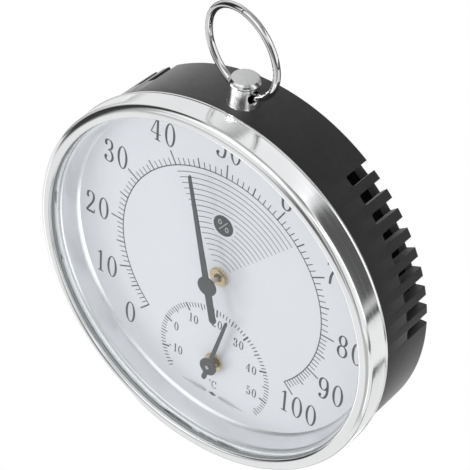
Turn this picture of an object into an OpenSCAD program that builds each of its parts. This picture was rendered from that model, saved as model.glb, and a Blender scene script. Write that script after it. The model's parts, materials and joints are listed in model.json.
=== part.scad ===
// Round wall thermo-hygrometer, hung from a wire ring.
// The dial faces -Y and the knob with the ring points up, +Z.
// The origin is the centre of the back face, the face that lies on the wall.
// Inside the modules x is to the right, y is up and z is the height above the back face.

/* [Bezel] */
// Outside diameter at the rear edge, the largest of the instrument
bezel_d = 100; // [90:0.5:120]
// How much smaller the radius is at the front of the side wall
bezel_taper = 0.3; // [0.2:0.1:1]
// Thickness of the side wall at its rear edge
skirt_wall = 1.6; // [1.3:0.1:2.2]
// How far the side wall reaches back from the underside of the lip
skirt_l = 5.8; // [3:0.1:6.2]
// Height of the rounded lip over its underside
lip_h = 1.3; // [1:0.1:1.6]
// Width of the lip around the opening that shows the dial
lip_w = 3.3; // [2.8:0.1:4.5]

/* [Case] */
// How far the bezel stands proud of the case
case_step = 1; // [0.7:0.1:2]
// Radius lost from the shoulder to the back face
case_draft = 0.15; // [0:0.05:1]
// Thickness of the back wall
floor_t = 2; // [1.6:0.1:3]
// Room between the back wall and the dial
cavity_h = 13; // [12.6:0.1:18]
// Thickness of the thin front rim under the bezel
rim_wall = 0.85; // [0.6:0.05:1.2]
// Width of the ledge that carries the dial
ledge_w = 1.2; // [0.8:0.1:1.4]
// Bevel around the back face
back_bevel = 0.2; // [0.1:0.1:1]
// Depth of the hollow in the back face, between the centre land and the rim
back_hollow = 0.5; // [0.2:0.1:1]
// Radius of the centre land of the back face
land_r = 21; // [19:0.5:26]
// Width of the land at the rim of the back face
rim_land = 5; // [3.5:0.5:8]

/* [Vents] */
// Groups of vents, one of them at the bottom
vent_groups = 3; // [2:1:3]
// Vents in a group
vents = 9; // [3:1:11]
// Angle from one vent to the next
vent_pitch = 6; // [5:0.5:8]
// Width of a vent
vent_w = 2.75; // [1.5:0.05:3]
// Length of a vent, from the back face
vent_l = 8.4; // [5:0.2:12]
// Corner radius at the closed end of a vent
vent_corner = 0.6; // [0.3:0.1:0.8]

/* [Window] */
// Thickness of the dial plate
dial_t = 0.8; // [0.5:0.1:1.2]
// Room between the dial and the lens
window_gap = 6.1; // [5.6:0.1:8]
// Thickness of the lens
lens_t = 1; // [0.8:0.1:2]
// Thickness of the gasket's two flanges and of its outer wall
gasket_t = 0.5; // [0.3:0.1:0.8]
// How far the gasket shows inside the opening
gasket_show = 0.2; // [0.1:0.1:0.6]
// Width of the reflector ring's foot on the dial
reflector_w = 3.4; // [2.6:0.1:5]
// How much the radius of the reflector ring grows up to its bevel
reflector_flare = 1.3; // [0.4:0.1:1.4]
// Bevel at the top of the reflector ring
reflector_bevel = 0.5; // [0.2:0.1:0.6]

/* [Movements] */
// Distance down to the thermometer's axis, as a share of the visible dial's radius
small_drop_share = 0.63; // [0.6:0.01:0.66]
// Radius of a spindle
spindle_r = 0.55; // [0.5:0.05:0.8]
// Radius of a rear pivot
pivot_r = 0.4; // [0.3:0.05:0.45]
// Radial running clearance of spindles, pivots and the lever
run_gap = 0.05; // [0.03:0.01:0.08]
// Radius of a bush's flange on the dial
bush_flange_r = 2.6; // [2.3:0.1:3.2]
// Height of a bush's flange over the dial
bush_flange_t = 0.6; // [0.3:0.1:0.8]
// Radius of a bush's threaded shank
bush_r = 1.9; // [1.6:0.1:2.1]
// Width across the flats of a bush's nut
bush_nut_af = 6; // [5:0.5:7]
// Height of a bush's nut
bush_nut_t = 1.5; // [1:0.1:1.8]
// Width of the brass strip of a movement frame
frame_w = 8; // [6.8:0.2:10]
// Thickness of the brass strip
frame_t = 0.8; // [0.6:0.1:1]
// Room between the two legs of a frame
frame_in = 22.4; // [21:0.2:26]
// Depth of a frame behind the dial
frame_l = 10.6; // [10.2:0.1:11]
// Radius of the outer end of a coil
coil_r = 8.8; // [7:0.1:9]
// Turns of a coil
coil_turns = 5; // [4:1:6]
// Thickness of the coil's strip
coil_t = 0.3; // [0.2:0.05:0.4]
// Width of the coil's strip
coil_w = 3.8; // [2.5:0.1:4]
// Radius of the collet at the inner end of a coil
collet_r = 1.5; // [1.2:0.1:1.8]
// Radius of the post at the outer end of a coil
post_r = 0.5; // [0.4:0.05:0.8]

/* [Calibration lever] */
// Thickness of the lever
lever_t = 0.6; // [0.4:0.1:0.8]
// Distance from the centre to the middle of the lever's tab
tab_r = 16; // [14.5:0.5:17]
// Width of the tab
tab_w = 2.4; // [1.6:0.2:3]
// Thickness of the tab
tab_t = 1.2; // [0.8:0.1:1.6]
// How far the tab stays inside the back face
tab_inset = 0.6; // [0.3:0.1:1.2]
// Width of the curved slot in the back wall
tab_slot_w = 3.4; // [2.8:0.1:3.8]
// Angle that the tab can turn to each side
tab_turn = 15; // [5:1:18]

/* [Hands] */
// Height of the humidity hand over the dial
humidity_hand_h = 4.6; // [4.2:0.1:4.8]
// Distance from the axis to the tip of the humidity hand, as a share of the visible dial's radius
humidity_hand_share = 0.7; // [0.6:0.01:0.8]
// Distance from the axis to the end of its tail
humidity_tail_l = 10.8; // [6:0.2:14]
// Radius of its hub disc
humidity_hub_r = 2.65; // [2:0.05:3.5]
// Place of the humidity hand, clockwise from the top
humidity_rest = -12.8; // [-135:0.1:135]
// Height of the temperature hand over the dial
temperature_hand_h = 2.3; // [2:0.1:2.6]
// Distance from the axis to the tip of the temperature hand, as a share of the visible dial's radius
temperature_hand_share = 0.405; // [0.3:0.005:0.42]
// Distance from the axis to the end of its tail
temperature_tail_l = 4.85; // [3:0.05:8]
// Radius of its hub disc
temperature_hub_r = 2.4; // [2:0.05:3]
// Place of the temperature hand, clockwise from the top
temperature_rest = 15.2; // [-124:0.1:124]
// Thickness of both hands
hand_t = 0.4; // [0.3:0.05:0.6]
// Radius of the collet under a hand
hand_collet_r = 1; // [0.9:0.05:1.4]

/* [Hanger] */
// Height of the hanger's axis above the back face
hanger_h = 10.6; // [8:0.1:10.8]
// Depth of the seat cut into the case under the knob
knob_seat = 0.4; // [0.2:0.1:0.8]
// Radius of the knob's foot
knob_foot_r = 3.75; // [3.6:0.05:4.5]
// Least radius of the knob's flared stem
knob_r = 3.5; // [3.3:0.1:3.6]
// Radius of the knob's rim
knob_rim_r = 3.85; // [3.7:0.05:4.2]
// Radius of the flat on top of the knob
knob_top_r = 3.2; // [2:0.05:3.4]
// Height of the knob
knob_h = 7.1; // [6.9:0.1:9]
// Height of the cross hole over the knob's foot
eye_h = 3.4; // [3:0.1:3.5]
// Radius of the cross hole
eye_r = 1.6; // [1.55:0.05:1.7]
// How far the cross hole is turned towards the front on its right side
eye_yaw = 14; // [8:1:16]
// Radius of the knob's threaded stud
stud_r = 2; // [1.5:0.1:2.2]
// Length of the knob's threaded stud
stud_l = 6.2; // [6:0.1:8]
// Thickness of the washer under the hanger nut
washer_t = 0.5; // [0.3:0.1:0.8]
// Radius of the washer
washer_r = 3.9; // [3.5:0.1:4]
// Width across the flats of the hanger nut
hanger_nut_af = 6.8; // [6:0.1:7]
// Height of the hanger nut
hanger_nut_t = 2.4; // [1.6:0.1:2.6]

/* [Wire ring] */
// Middle radius of the ring's wire
ring_r = 11.35; // [9:0.05:14]
// Diameter of the round wire
wire_d = 1.8; // [1.2:0.1:2]
// Place of the joint where the wire's ends meet, clockwise from the top
joint_at = 4; // [-60:1:60]
// Gap between the wire's ends
joint_gap = 0.12; // [0.1:0.01:0.3]
// How far the ring hangs to the left of the knob's axis
ring_side = 0.55; // [-0.6:0.05:0.6]
// How far the wire lies under the middle of the cross hole
ring_drop = 0.5; // [0.4:0.05:0.6]
// How far the ring leans forward
ring_lean = 4.8; // [0:0.1:10]
// How far the ring is turned towards the front on its right side
ring_yaw = 10.7; // [8:0.1:16]

/* [Fits] */
// Gap between the case rim and the bezel
rim_gap = 0.05; // [0.02:0.01:0.1]
// Gap around the dial, the lens and the gasket
seat_gap = 0.1; // [0.05:0.01:0.15]
// Gap around a bush in the dial
hole_gap = 0.05; // [0.03:0.01:0.1]

/* [Hidden] */
$fn = 96;
over = 1;

// Heights above the back face
dial_under = floor_t + cavity_h;
dial_top = dial_under + dial_t;
lens_under = dial_top + window_gap;
lens_over = lens_under + lens_t;
gasket_under = lens_under - gasket_t;
lip_under = lens_over + gasket_t;
skirt_rear = lip_under - skirt_l;
bezel_front = lip_under + lip_h;

// Radii, from the bezel inwards
bezel_r = bezel_d / 2;
bezel_front_r = bezel_r - bezel_taper;
skirt_in = bezel_r - skirt_wall;
rim_r = skirt_in - rim_gap;
gasket_r = rim_r - seat_gap;
lens_r = gasket_r - gasket_t;
seat_r = rim_r - rim_wall;
dial_r = seat_r - seat_gap;
cavity_r = seat_r - ledge_w;
case_front_r = bezel_r - case_step;
case_back_r = case_front_r - case_draft;
window_r = bezel_front_r - lip_w;
dial_show_r = dial_r - reflector_w;

// Lip of the bezel: two quarter ellipses that meet at its crest
lip_crest_r = window_r + (bezel_front_r - window_r) * 0.335;
lip_start = 0.75;
lip_fall = 1.6;
lip_steps = 8;
bead_h = 0.6;
bead_in = 0.2;

// Dial and hands
small_drop = dial_show_r * small_drop_share;
humidity_hand_l = dial_show_r * humidity_hand_share;
temperature_hand_l = dial_show_r * temperature_hand_share;

// Movements, front to back
bush_shank_end = dial_under - frame_t - bush_nut_t - 0.8;
bush_recess_r = 1;
bush_recess_l = 0.8;
frame_rear = dial_under - frame_l;
frame_floor = frame_rear + frame_t;
lever_lift = 0.05;
lever_low = frame_floor + lever_lift;
lever_top = lever_low + lever_t;
clip_low = lever_top + lever_lift;
clip_t = 0.3;
clip_r = 3;
rear_bush_r = 2;
rear_bush_flange_r = 3;
rear_bush_flange_t = 0.6;
rear_bush_top = clip_low + clip_t;
lever_hub_r = 3.4;
lever_arm_w = 2.4;
collet_low = rear_bush_top + 0.5;
collet_top = collet_low + coil_w + 0.4;
coil_low = collet_low + 0.2;
coil_top = coil_low + coil_w;
coil_gap = 0.05;
coil_start_r = collet_r + coil_gap + coil_t / 2;
coil_steps = 24;
coil_end = 20;
lever_post_at = 90 - coil_end;
pivot_end = frame_rear - 0.2;
pivot_top = rear_bush_top + 0.15;
small_pivot_top = frame_floor + 0.15;
hand_collet_l = 1.2;
spindle_over = 0.3;
hub_raise = 0.1;

// Curved slot of the calibration lever
tab_low = tab_inset;
tab_margin = asin(tab_w / 2 / tab_r) + 1;
slot_half_angle = tab_turn + tab_margin;
slot_turn = slot_half_angle - asin(tab_slot_w / 2 / tab_r) + 3;

// Hanger
case_r_at_hanger = case_back_r + case_draft * hanger_h / skirt_rear;
knob_foot = case_r_at_hanger - knob_seat;
foot_h = 0.3;
neck_h = knob_h - 1.55;
rim_low = knob_h - 1.1;
rim_top = knob_h - 0.9;
shoulder_h = knob_h - 0.4;
shoulder_r = (knob_rim_r + knob_top_r) / 2 + 0.05;
flare_steps = 6;
eye_y = knob_foot + eye_h;
eye_bevel = 0.2;
pad_half = 5.5;
pad_in = 0.8;
pad_y = cavity_r - pad_in;
pad_top = dial_under - 0.2;
nut_y = pad_y - washer_t;
stud_gap = 0.1;

// Stem of the knob: its flare, from the neck down to the foot
function flare(h) = knob_r + (knob_foot_r - knob_r) * pow(1 - (h - foot_h) / (neck_h - foot_h), 2);

// A spiral strip: its middle line at angle a
function coil_mid(a) = coil_start_r + (coil_r - coil_start_r) * a / (360 * coil_turns);
function coil_point(a, side) = (coil_mid(a) + side * coil_t / 2) * [cos(a), sin(a)];

// The least gap between the turns of a coil
echo(coil_gap_between_turns = (coil_r - coil_start_r) / coil_turns - coil_t);

// Turns a piece modelled face up so that the dial faces -Y
module face_front() {
    rotate([90, 0, 0])
        children();
}

module at_small_dial() {
    translate([0, -small_drop, 0])
        children();
}

module tube(r_out, r_in, low, high) {
    translate([0, 0, low])
        difference() {
            cylinder(r = r_out, h = high - low);
            translate([0, 0, -over])
                cylinder(r = r_in, h = high - low + 2 * over);
        }
}

// One vent, a flat slot with two round corners, along +y at the rim
module vent_cut() {
    translate([0, case_front_r + over, 0])
        rotate([90, 0, 0])
            linear_extrude(case_front_r + over - cavity_r + seat_gap)
                union() {
                    translate([-vent_w / 2, -over])
                        square([vent_w, vent_l + over - vent_corner]);
                    translate([-vent_w / 2 + vent_corner, -over])
                        square([vent_w - 2 * vent_corner, vent_l + over]);
                    for (side = [-1, 1])
                        translate([side * (vent_w / 2 - vent_corner), vent_l - vent_corner])
                            circle(r = vent_corner, $fn = 24);
                }
}

module case_body() {
    rotate_extrude()
        polygon([
            [0, 0], [land_r, 0], [land_r + back_hollow, back_hollow],
            [case_back_r - rim_land - back_hollow, back_hollow], [case_back_r - rim_land, 0],
            [case_back_r - back_bevel, 0], [case_back_r, back_bevel],
            [case_front_r, skirt_rear], [rim_r, skirt_rear], [rim_r, gasket_under],
            [seat_r, gasket_under], [seat_r, dial_under], [cavity_r, dial_under],
            [cavity_r, floor_t], [0, floor_t]]);
}

// Flat pad inside the wall, under the hanger's washer
module hanger_pad() {
    translate([-pad_half, pad_y, floor_t - over / 2])
        cube([2 * pad_half, cavity_r + over - pad_y, pad_top - floor_t + over / 2]);
}

module lever_slot() {
    rotate([0, 0, 90 - slot_turn])
        translate([0, 0, -over])
            rotate_extrude(angle = 2 * slot_turn)
                translate([tab_r - tab_slot_w / 2, 0])
                    square([tab_slot_w, floor_t + 2 * over]);
    for (side = [-1, 1])
        rotate([0, 0, 90 + side * slot_turn])
            translate([tab_r, 0, -over])
                cylinder(r = tab_slot_w / 2, h = floor_t + 2 * over);
}

module case() {
    color("#2b2b2c")
        face_front()
            difference() {
                union() {
                    case_body();
                    hanger_pad();
                }
                for (group = [0 : vent_groups - 1], i = [0 : vents - 1])
                    rotate([0, 0, 180 + group * 360 / vent_groups + (i - (vents - 1) / 2) * vent_pitch])
                        vent_cut();
                lever_slot();
                translate([0, knob_foot, hanger_h])
                    rotate([-90, 0, 0])
                        cylinder(r = knob_foot_r + seat_gap, h = 2 * over);
                translate([0, nut_y, hanger_h])
                    rotate([-90, 0, 0])
                        cylinder(r = stud_r + stud_gap, h = case_front_r - nut_y);
            }
}

module bezel() {
    inner = [for (i = [0 : lip_steps]) let (a = 90 * i / lip_steps)
        [lip_crest_r - (lip_crest_r - window_r) * cos(a), lip_under + lip_start + (lip_h - lip_start) * sin(a)]];
    outer = [for (i = [1 : lip_steps]) let (a = 90 * i / lip_steps)
        [lip_crest_r + (bezel_front_r - lip_crest_r) * sin(a), bezel_front - lip_fall * (1 - cos(a))]];
    color("#d9dadc")
        face_front()
            rotate_extrude()
                polygon(concat([[skirt_in, skirt_rear], [skirt_in, lip_under], [window_r, lip_under]],
                    inner, outer,
                    [[bezel_r - bead_in, skirt_rear + bead_h + bead_in], [bezel_r, skirt_rear + bead_h],
                     [bezel_r, skirt_rear]]));
}

module lens() {
    color([0.9, 0.95, 0.97, 0.3])
        face_front()
            translate([0, 0, lens_under])
                cylinder(r = lens_r, h = lens_t);
}

// Gasket with a groove that holds the edge of the lens
module lens_gasket() {
    flange_r = window_r - gasket_show;
    color("#1d1e20")
        face_front()
            rotate_extrude()
                polygon([[flange_r, gasket_under], [gasket_r, gasket_under], [gasket_r, lip_under],
                    [flange_r, lip_under], [flange_r, lens_over], [lens_r, lens_over],
                    [lens_r, lens_under], [flange_r, lens_under]]);
}

module reflector_ring() {
    top_r = dial_show_r + reflector_flare;
    color("#c9cccf")
        face_front()
            rotate_extrude()
                polygon([[dial_show_r, dial_top], [dial_r, dial_top], [dial_r, gasket_under],
                    [top_r + reflector_bevel, gasket_under], [top_r, gasket_under - reflector_bevel]]);
}

module dial_plate() {
    color("#dde1e5")
        face_front()
            difference() {
                translate([0, 0, dial_under])
                    cylinder(r = dial_r, h = dial_t);
                for (drop = [0, small_drop])
                    translate([0, -drop, dial_under - over])
                        cylinder(r = bush_r + hole_gap, h = dial_t + 2 * over);
            }
}

// Bush with its flange on the dial and a recess around the spindle
module bush() {
    color("#b79d5c")
        difference() {
            union() {
                translate([0, 0, dial_top])
                    cylinder(r = bush_flange_r, h = bush_flange_t);
                translate([0, 0, bush_shank_end])
                    cylinder(r = bush_r, h = dial_top - bush_shank_end);
            }
            translate([0, 0, bush_shank_end - over])
                cylinder(r = spindle_r + run_gap, h = dial_top - bush_shank_end + 2 * over);
            translate([0, 0, dial_top + bush_flange_t - bush_recess_l])
                cylinder(r = bush_recess_r, h = bush_recess_l + over);
        }
}

module bush_nut() {
    color("#b79d5c")
        translate([0, 0, dial_under - frame_t - bush_nut_t])
            difference() {
                cylinder(r = bush_nut_af / 2 / cos(30), h = bush_nut_t, $fn = 6);
                translate([0, 0, -over])
                    cylinder(r = bush_r, h = bush_nut_t + 2 * over);
            }
}

// Brass strip bent to a U behind the dial
module movement_frame(rear_hole_r) {
    out = frame_in / 2 + frame_t;
    color("#c2a868")
        difference() {
            translate([-out, -frame_w / 2, frame_rear])
                cube([2 * out, frame_w, frame_l]);
            translate([-frame_in / 2, -frame_w / 2 - over, frame_floor])
                cube([frame_in, frame_w + 2 * over, frame_l - 2 * frame_t]);
            translate([0, 0, dial_under - frame_t - over])
                cylinder(r = bush_r, h = frame_t + 2 * over);
            translate([0, 0, frame_rear - over])
                cylinder(r = rear_hole_r, h = frame_t + 2 * over);
        }
}

// Spiral strip; its outer end is cut to the round of the post at angle coil_end
module coil(strip_color) {
    last = 360 * coil_turns + coil_end;
    steps = coil_steps * coil_turns;
    angles = [for (i = [0 : steps]) last * i / steps];
    color(strip_color)
        difference() {
            translate([0, 0, coil_low])
                linear_extrude(coil_w)
                    polygon(concat([for (a = angles) coil_point(a, 1)],
                        [for (i = [0 : steps]) coil_point(angles[steps - i], -1)]));
            rotate([0, 0, coil_end])
                translate([coil_mid(last), 0, coil_low - over])
                    cylinder(r = post_r, h = coil_w + 2 * over);
        }
}

// Post that holds the outer end of a coil, on a floor at height low
module coil_post(low) {
    rotate([0, 0, coil_end])
        translate([coil_mid(360 * coil_turns + coil_end), 0, low])
            cylinder(r = post_r, h = coil_top - low);
}

module coil_collet() {
    color("#c2a868")
        tube(collet_r, spindle_r, collet_low, collet_top);
}

module spindle(pivot_low, shoulder, top) {
    color("#9a9a98") {
        translate([0, 0, pivot_low])
            cylinder(r = pivot_r, h = shoulder - pivot_low);
        translate([0, 0, shoulder])
            cylinder(r = spindle_r, h = top - shoulder);
    }
}

module hand_collet(hand_low, bore) {
    color("#8f8062")
        tube(hand_collet_r, bore, hand_low - hand_collet_l, hand_low);
}

// Flat hand: slim blade, raised round hub and a tail; the blade points up before it is turned
module hand(tip_l, tip_w, root_w, hub_r, tail_l, tail_w) {
    tail_end = [for (a = [180 : -15 : 0]) tail_w / 2 * [-cos(a), -sin(a)] - [0, tail_l - tail_w / 2]];
    linear_extrude(hand_t)
        polygon(concat([[-root_w / 2, 0], [-tip_w / 2, tip_l - tip_w / 2], [0, tip_l],
            [tip_w / 2, tip_l - tip_w / 2], [root_w / 2, 0], [tail_w / 2, -hub_r / 2]],
            tail_end, [[-tail_w / 2, -hub_r / 2]]));
    translate([0, 0, -hub_raise / 2])
        cylinder(r = hub_r, h = hand_t + hub_raise);
}

module humidity_bush() {
    face_front()
        bush();
}

module humidity_bush_nut() {
    face_front()
        bush_nut();
}

module humidity_frame() {
    face_front()
        movement_frame(rear_bush_r);
}

// Bush in the frame's rear strip: bore for the pivot, journal for the lever
module humidity_rear_bush() {
    color("#b79d5c")
        face_front()
            difference() {
                union() {
                    translate([0, 0, frame_rear - rear_bush_flange_t])
                        cylinder(r = rear_bush_flange_r, h = rear_bush_flange_t);
                    translate([0, 0, frame_rear])
                        cylinder(r = rear_bush_r, h = rear_bush_top - frame_rear);
                }
                translate([0, 0, frame_rear - rear_bush_flange_t - over])
                    cylinder(r = pivot_r + run_gap, h = rear_bush_top - frame_rear + rear_bush_flange_t + 2 * over);
            }
}

module lever_clip() {
    color("#9a9a98")
        face_front()
            tube(clip_r, rear_bush_r, clip_low, clip_low + clip_t);
}

// Lever on the rear bush: a post for the coil and a tab through the slot in the back wall
module calibration_lever() {
    color("#c2a868")
        face_front() {
            difference() {
                union() {
                    translate([0, 0, lever_low])
                        cylinder(r = lever_hub_r, h = lever_t);
                    translate([-lever_arm_w / 2, 0, lever_low])
                        cube([lever_arm_w, tab_r + tab_t / 2, lever_t]);
                    translate([-tab_w / 2, tab_r - tab_t / 2, tab_low])
                        cube([tab_w, tab_t, lever_top - tab_low]);
                }
                translate([0, 0, lever_low - over])
                    cylinder(r = rear_bush_r + run_gap, h = lever_t + 2 * over);
            }
            rotate([0, 0, lever_post_at])
                coil_post(lever_low);
        }
}

module humidity_coil() {
    face_front()
        rotate([0, 0, lever_post_at])
            coil("#b9b2a0");
}

module humidity_coil_collet() {
    face_front()
        coil_collet();
}

module humidity_spindle() {
    face_front()
        spindle(pivot_end, pivot_top, dial_top + humidity_hand_h - hub_raise / 2);
}

module humidity_hand_collet() {
    face_front()
        hand_collet(dial_top + humidity_hand_h - hub_raise / 2, spindle_r);
}

module humidity_hand() {
    color("#66696d")
        face_front()
            translate([0, 0, dial_top + humidity_hand_h])
                rotate([0, 0, -humidity_rest])
                    hand(humidity_hand_l, 0.75, 1.75, humidity_hub_r, humidity_tail_l, 1.9);
}

module temperature_bush() {
    face_front()
        at_small_dial()
            bush();
}

module temperature_bush_nut() {
    face_front()
        at_small_dial()
            bush_nut();
}

module temperature_frame() {
    face_front()
        at_small_dial()
            movement_frame(pivot_r + run_gap);
}

module temperature_anchor() {
    color("#c2a868")
        face_front()
            at_small_dial()
                rotate([0, 0, -coil_end])
                    coil_post(frame_floor);
}

module temperature_coil() {
    face_front()
        at_small_dial()
            rotate([0, 0, -coil_end])
                coil("#a9a497");
}

module temperature_coil_collet() {
    face_front()
        at_small_dial()
            coil_collet();
}

module temperature_spindle() {
    face_front()
        at_small_dial()
            spindle(pivot_end, small_pivot_top, dial_top + temperature_hand_h + hand_t + spindle_over);
}

module temperature_hand_collet() {
    face_front()
        at_small_dial()
            hand_collet(dial_top + temperature_hand_h - hub_raise / 2, spindle_r);
}

module temperature_hand() {
    color("#66696d")
        face_front()
            at_small_dial()
                translate([0, 0, dial_top + temperature_hand_h])
                    rotate([0, 0, -temperature_rest])
                        difference() {
                            hand(temperature_hand_l, 0.75, 1.2, temperature_hub_r, temperature_tail_l, 1.3);
                            translate([0, 0, -over])
                                cylinder(r = spindle_r, h = hand_t + 2 * over);
                        }
}

// Puts a piece turned about +z on the case, at the top, with its foot at y
module at_hanger(y) {
    translate([0, y, hanger_h])
        rotate([-90, 0, 0])
            children();
}

module hanger_knob() {
    stem = [for (i = [0 : flare_steps]) let (h = foot_h + (neck_h - foot_h) * i / flare_steps) [flare(h), h]];
    color("#cfd0d2")
        face_front()
            difference() {
                at_hanger(knob_foot)
                    rotate_extrude()
                        polygon(concat([[0, -stud_l], [stud_r, -stud_l], [stud_r, 0], [knob_foot_r, 0]], stem,
                            [[knob_rim_r, rim_low], [knob_rim_r, rim_top], [shoulder_r, shoulder_h],
                             [knob_top_r, knob_h], [0, knob_h]]));
                translate([0, eye_y, hanger_h])
                    rotate([0, -eye_yaw, 0])
                        rotate([0, 90, 0]) {
                            translate([0, 0, -knob_foot_r - over])
                                cylinder(r = eye_r, h = 2 * (knob_foot_r + over));
                            for (side = [0, 180])
                                rotate([0, side, 0])
                                    translate([0, 0, knob_r - 2 * eye_bevel])
                                        cylinder(r1 = eye_r - eye_bevel, r2 = eye_r + 2 * eye_bevel, h = 3 * eye_bevel);
                        }
            }
}

module hanger_washer() {
    color("#b5b6b8")
        face_front()
            at_hanger(nut_y)
                tube(washer_r, stud_r + stud_gap, 0, washer_t);
}

module hanger_nut() {
    color("#b5b6b8")
        face_front()
            at_hanger(nut_y - hanger_nut_t)
                difference() {
                    cylinder(r = hanger_nut_af / 2 / cos(30), h = hanger_nut_t, $fn = 6);
                    translate([0, 0, -over])
                        cylinder(r = stud_r, h = hanger_nut_t + 2 * over);
                }
}

// Ring of round wire in the plane y = 0, open by a hair at its joint; its lowest point is at the origin
module wire_ring() {
    joint_turn = 2 * asin(joint_gap / 2 / ring_r);
    translate([0, 0, ring_r])
        rotate([90, 0, 0])
            rotate([0, 0, 90 - joint_at + joint_turn / 2])
                rotate_extrude(angle = 360 - joint_turn, $fn = 120)
                    translate([ring_r, 0])
                        circle(d = wire_d, $fn = 28);
}

module hanging_ring() {
    color("#c6c8ca")
        translate([0, -hanger_h, eye_y])
            rotate([0, 0, -ring_yaw])
                rotate([ring_lean, 0, 0])
                    translate([-ring_side, 0, -ring_drop])
                        wire_ring();
}

case();
bezel();
lens();
lens_gasket();
reflector_ring();
dial_plate();
humidity_bush();
humidity_bush_nut();
humidity_frame();
humidity_rear_bush();
lever_clip();
calibration_lever();
humidity_coil();
humidity_coil_collet();
humidity_spindle();
humidity_hand_collet();
humidity_hand();
temperature_bush();
temperature_bush_nut();
temperature_frame();
temperature_anchor();
temperature_coil();
temperature_coil_collet();
temperature_spindle();
temperature_hand_collet();
temperature_hand();
hanger_knob();
hanger_washer();
hanger_nut();
hanging_ring();
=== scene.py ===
"""Looks of a round wall thermo-hygrometer with a polished bezel, a knob and a ring of round wire.

Metres, Z up. The dial faces -Y. Dial coordinates are (x, y, d): x to the right, y up and d out of the
dial, all in millimetres, with the origin at the middle of the dial's face.
"""
import json
from math import atan2, cos, degrees, hypot, pi, radians, sin, tan

import bmesh
import bpy
from mathutils import Matrix, Vector


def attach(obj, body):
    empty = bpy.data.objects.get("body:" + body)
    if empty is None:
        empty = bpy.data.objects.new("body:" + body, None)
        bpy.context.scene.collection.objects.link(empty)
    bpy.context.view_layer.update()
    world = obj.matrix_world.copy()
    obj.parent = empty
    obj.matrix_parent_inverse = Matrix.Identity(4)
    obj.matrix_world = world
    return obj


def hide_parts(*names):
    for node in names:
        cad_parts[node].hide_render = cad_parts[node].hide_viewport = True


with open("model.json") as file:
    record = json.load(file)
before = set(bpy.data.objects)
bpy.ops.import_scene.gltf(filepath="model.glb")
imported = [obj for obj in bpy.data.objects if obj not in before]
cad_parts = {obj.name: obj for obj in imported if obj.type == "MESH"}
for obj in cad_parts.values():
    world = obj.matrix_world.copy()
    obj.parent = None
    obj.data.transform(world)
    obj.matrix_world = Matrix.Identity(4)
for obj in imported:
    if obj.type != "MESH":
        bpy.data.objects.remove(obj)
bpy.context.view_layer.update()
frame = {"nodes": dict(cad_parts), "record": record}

MM = 0.001

# Heights above the back face, in millimetres
DIAL_UNDER = 15.0
DIAL_FACE = 15.8
SKIRT_REAR = 17.6  # rear edge of the bezel, on the case's step
GASKET_UNDER = 21.4  # underside of the gasket, on the case's rim and the reflector ring
LENS_UNDER = 21.9
LENS_OVER = 22.9
LIP_UNDER = 23.4  # underside of the bezel's lip, on the gasket

SMALL_Y = -27.72  # height of the thermometer's axis on the dial
KNOB_FOOT = 48.5403  # height of the knob's foot over the dial's centre
KNOB_FOOT_R = 3.75
KNOB_Y = -10.6  # place of the knob's axis from the back face
KNOB_AXIS = (0, KNOB_Y * MM, 0)
STUD_R = 2.0  # radius of the knob's stud
GASKET_IN = 47.75  # radius of the gasket's groove, where the glass's edge lies
SEAT_GAP = 0.1  # room round the knob's foot and its stud

# Camera of the photograph, in metres and as unit vectors
CAMERA_AT = (0.2264, -0.3279, 0.3338)
CAMERA_RIGHT = (0.7876, 0.6141, 0.0511)
CAMERA_UP = (-0.4246, 0.4808, 0.7672)
CAMERA_LENS = 163.8
SENSOR = 36.0


# Meshes


def dial_point(x, y, d):
    """A point in dial coordinates, as a place in the frame."""
    return Vector((x, -(d + DIAL_FACE), y)) * MM


def new_object(name, bm, material, body, smooth):
    """Turns a bmesh into a piece with one material that rides on a body.

    Edges that turn by more than smooth degrees stay sharp.
    """
    bmesh.ops.recalc_face_normals(bm, faces=bm.faces)
    mesh = bpy.data.meshes.new(name)
    bm.to_mesh(mesh)
    bm.free()
    mesh.shade_smooth()
    mesh.set_sharp_from_angle(angle=radians(smooth))
    mesh.materials.append(material)
    piece = bpy.data.objects.new(name, mesh)
    bpy.context.scene.collection.objects.link(piece)
    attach(piece, body)
    return piece


def lathe(profile, steps, place):
    """Closed (radius, height) profile turned once; place maps (angle, radius, height) to a point."""
    bm = bmesh.new()
    rings = []
    for k in range(steps):
        a = 2 * pi * k / steps
        rings.append([bm.verts.new(place(a, r, h)) for r, h in profile])
    count = len(profile)
    for k in range(steps):
        here, there = rings[k], rings[(k + 1) % steps]
        for i in range(count):
            j = (i + 1) % count
            bm.faces.new((here[i], there[i], there[j], here[j]))
    bmesh.ops.remove_doubles(bm, verts=bm.verts, dist=1e-7)
    return bm


def about_dial(a, r, h):
    """Turned about the dial's axis; h is the height above the back face."""
    return Vector((r * sin(a), -h, r * cos(a))) * MM


def about_small_dial(a, r, h):
    return Vector((r * sin(a), -h, r * cos(a) + SMALL_Y)) * MM


def corner(before, at, after, radius, steps):
    """Points of a fillet of the given radius where two sides of a profile meet."""
    p, a, b = Vector(at), Vector(before), Vector(after)
    u, v = (a - p).normalized(), (b - p).normalized()
    half = u.angle(v) / 2
    reach = radius / max(1e-6, sin(half) / cos(half))
    middle = p + (u + v).normalized() * radius / sin(half)
    first, last = p + u * reach - middle, p + v * reach - middle
    turn = atan2(first.x * last.y - first.y * last.x, first.dot(last))
    out = []
    for k in range(steps + 1):
        t = turn * k / steps
        out.append((middle.x + first.x * cos(t) - first.y * sin(t),
                    middle.y + first.x * sin(t) + first.y * cos(t)))
    return out


def rounded(points, radii, steps=4):
    """A closed profile whose corners are filleted; radii maps a corner's index to its radius."""
    out = []
    for i, p in enumerate(points):
        if i in radii:
            out += corner(points[i - 1], p, points[(i + 1) % len(points)], radii[i], steps)
        else:
            out.append(p)
    return out


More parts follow.
